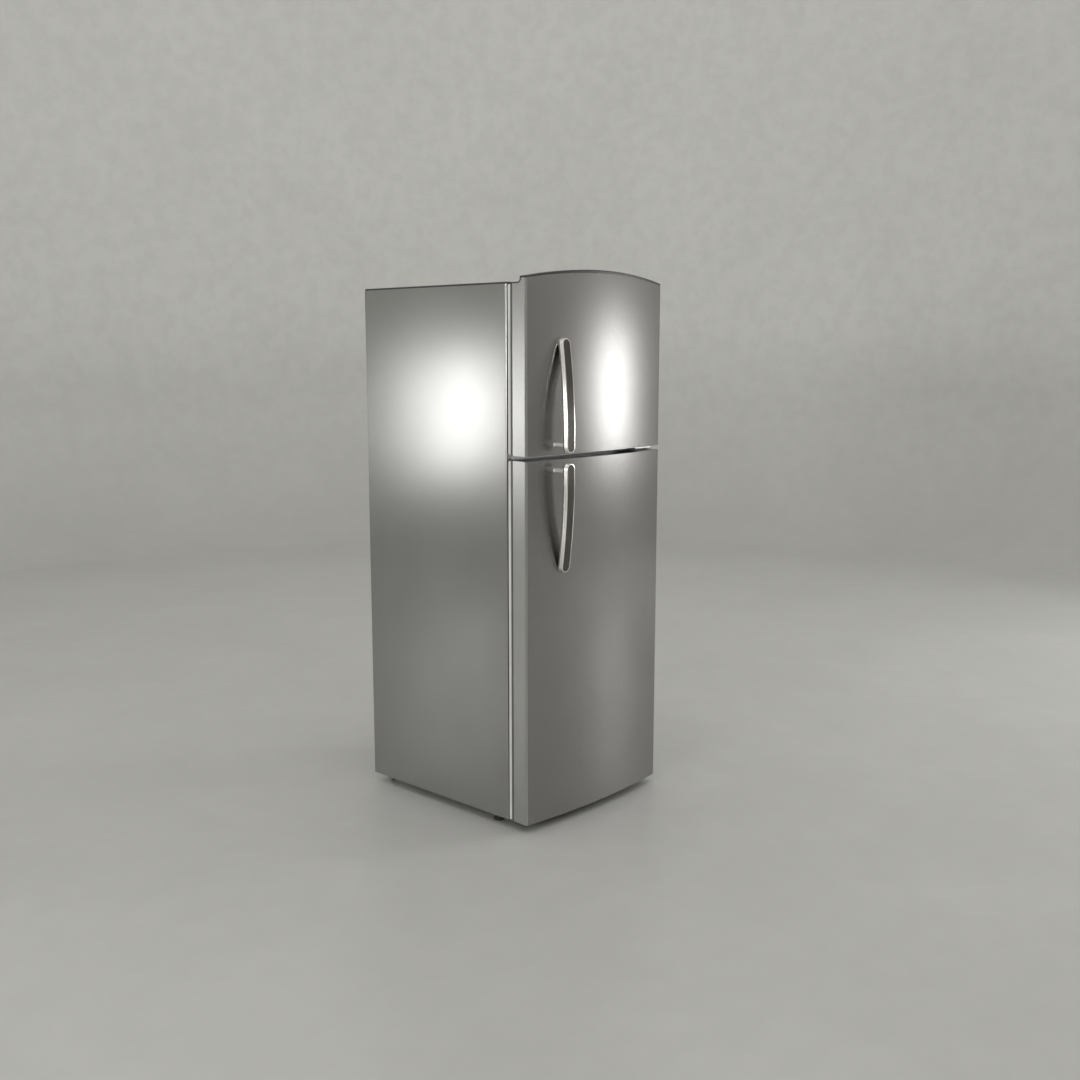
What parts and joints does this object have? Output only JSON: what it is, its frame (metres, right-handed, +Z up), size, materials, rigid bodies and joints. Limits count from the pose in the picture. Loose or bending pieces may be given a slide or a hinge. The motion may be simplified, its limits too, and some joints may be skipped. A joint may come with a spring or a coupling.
{
  "type": "top freezer refrigerator",
  "caption": "Free-standing refrigerator with a freezer door above a taller fresh food door, bowed steel fronts, bar handles, drawers, shelves and door bins.",
  "frame": {"origin": "middle of the footprint on the floor", "axes": "+Z up, +X to the right as seen from the front, -Y towards the front and its handles"},
  "size_m": [0.64, 0.826, 1.7107],
  "materials": {
    "door_steel": "satin",
    "cabinet_steel": "satin",
    "silver_trim": "satin",
    "dark_plastic": "satin",
    "plated_steel": "satin",
    "handle_metal": "satin",
    "gasket_vinyl": "matte",
    "liner_plastic": "satin",
    "insulation": "matte",
    "shelf_glass": "gloss",
    "clear_plastic": "gloss",
    "black_steel": "satin",
    "fin_aluminium": "satin"
  },
  "bodies": {
    "cabinet": {"left_side_panel": "cabinet_steel", "right_side_panel": "cabinet_steel", "top_panel": "dark_plastic", "back_panel": "plated_steel", "base_pan": "plated_steel", "cabinet_foam": "insulation", "freezer_liner": "liner_plastic", "fresh_food_liner": "liner_plastic", "front_mullion": "plated_steel", "evaporator": "fin_aluminium", "evaporator_cover": "liner_plastic", "freezer_shelf": "shelf_glass", "ice_bin": "clear_plastic", "upper_shelf": "shelf_glass", "lower_shelf": "shelf_glass", "crisper_cover": "shelf_glass", "control_housing": "liner_plastic", "lamp_cover": "clear_plastic", "compressor": "black_steel", "condenser": "black_steel", "drain_pan": "dark_plastic", "top_hinge": "plated_steel", "top_hinge_cover": "dark_plastic", "centre_hinge": "plated_steel", "bottom_hinge": "plated_steel"},
    "freezer_door": {"freezer_door_front_panel": "door_steel", "freezer_door_left_trim": "silver_trim", "freezer_door_right_trim": "silver_trim", "freezer_door_top_cap": "dark_plastic", "freezer_door_bottom_cap": "dark_plastic", "freezer_door_foam": "insulation", "freezer_door_liner": "liner_plastic", "freezer_door_gasket": "gasket_vinyl", "freezer_door_handle_bar": "handle_metal", "freezer_door_handle_post": "handle_metal", "freezer_door_bin": "clear_plastic"},
    "fridge_door": {"fridge_door_front_panel": "door_steel", "fridge_door_left_trim": "silver_trim", "fridge_door_right_trim": "silver_trim", "fridge_door_top_cap": "dark_plastic", "fridge_door_bottom_cap": "dark_plastic", "fridge_door_foam": "insulation", "fridge_door_liner": "liner_plastic", "fridge_door_gasket": "gasket_vinyl", "fridge_door_handle_bar": "handle_metal", "fridge_door_handle_post": "handle_metal", "door_bin_upper": "clear_plastic", "door_bin_lower": "clear_plastic", "dairy_box": "clear_plastic"},
    "dairy_lid": {"dairy_lid": "clear_plastic"},
    "crisper_left": {"crisper_left": "clear_plastic"},
    "crisper_right": {"crisper_right": "clear_plastic"},
    "evaporator_fan": {"evaporator_fan": "dark_plastic"},
    "thermostat_dial": {"thermostat_dial": "dark_plastic"},
    "air_slider": {"air_slider": "dark_plastic"},
    "light_switch": {"light_switch": "liner_plastic"},
    "foot_left": {"foot_left": "dark_plastic"},
    "foot_right": {"foot_right": "dark_plastic"},
    "roller_left": {"roller_left": "dark_plastic"},
    "roller_right": {"roller_right": "dark_plastic"}
  },
  "joints": [
    {"name": "freezer_door_hinge", "type": "hinge", "parent": "cabinet", "child": "freezer_door", "pos_m": [0.306, -0.3, 1.4], "axis": [0, 0, 1], "range_deg": [0, 125]},
    {"name": "fridge_door_hinge", "type": "hinge", "parent": "cabinet", "child": "fridge_door", "pos_m": [0.306, -0.3, 0.6], "axis": [0, 0, 1], "range_deg": [0, 125]},
    {"name": "crisper_left_slide", "type": "slide", "parent": "cabinet", "child": "crisper_left", "axis": [0, -1, 0], "range_m": [0, 0.27]},
    {"name": "crisper_right_slide", "type": "slide", "parent": "cabinet", "child": "crisper_right", "axis": [0, -1, 0], "range_m": [0, 0.27]},
    {"name": "dairy_lid_hinge", "type": "hinge", "parent": "fridge_door", "child": "dairy_lid", "pos_m": [0, -0.1875, 1.089], "axis": [1, 0, 0], "range_deg": [0, 80]},
    {"name": "light_switch_plunge", "type": "slide", "parent": "cabinet", "child": "light_switch", "axis": [0, -1, 0], "range_m": [0, 0.006]},
    {"name": "thermostat_dial_turn", "type": "hinge", "parent": "cabinet", "child": "thermostat_dial", "pos_m": [0.06, -0.082, 1.098], "axis": [0, -1, 0], "range_deg": [0, 270]},
    {"name": "air_slider_slide", "type": "slide", "parent": "cabinet", "child": "air_slider", "axis": [1, 0, 0], "range_m": [-0.02, 0.02]},
    {"name": "evaporator_fan_spin", "type": "hinge", "parent": "cabinet", "child": "evaporator_fan", "pos_m": [0, 0.285, 1.535], "axis": [0, 1, 0], "continuous": true},
    {"name": "foot_left_screw", "type": "hinge", "parent": "cabinet", "child": "foot_left", "pos_m": [-0.285, -0.187, 0.02], "axis": [0, 0, 1], "continuous": true},
    {"name": "foot_right_screw", "type": "hinge", "parent": "cabinet", "child": "foot_right", "pos_m": [0.285, -0.187, 0.02], "axis": [0, 0, 1], "continuous": true},
    {"name": "roller_left_spin", "type": "hinge", "parent": "cabinet", "child": "roller_left", "pos_m": [-0.275, 0.338, 0.013], "axis": [1, 0, 0], "continuous": true},
    {"name": "roller_right_spin", "type": "hinge", "parent": "cabinet", "child": "roller_right", "pos_m": [0.275, 0.338, 0.013], "axis": [1, 0, 0], "continuous": true}
  ],
  "couplings": [
    {"joint": "crisper_left_slide", "follows": "fridge_door_hinge", "m_per_rad": 0.1235},
    {"joint": "crisper_right_slide", "follows": "fridge_door_hinge", "m_per_rad": 0.1235},
    {"joint": "light_switch_plunge", "follows": "fridge_door_hinge", "m_per_rad": 0.0027}
  ]
}
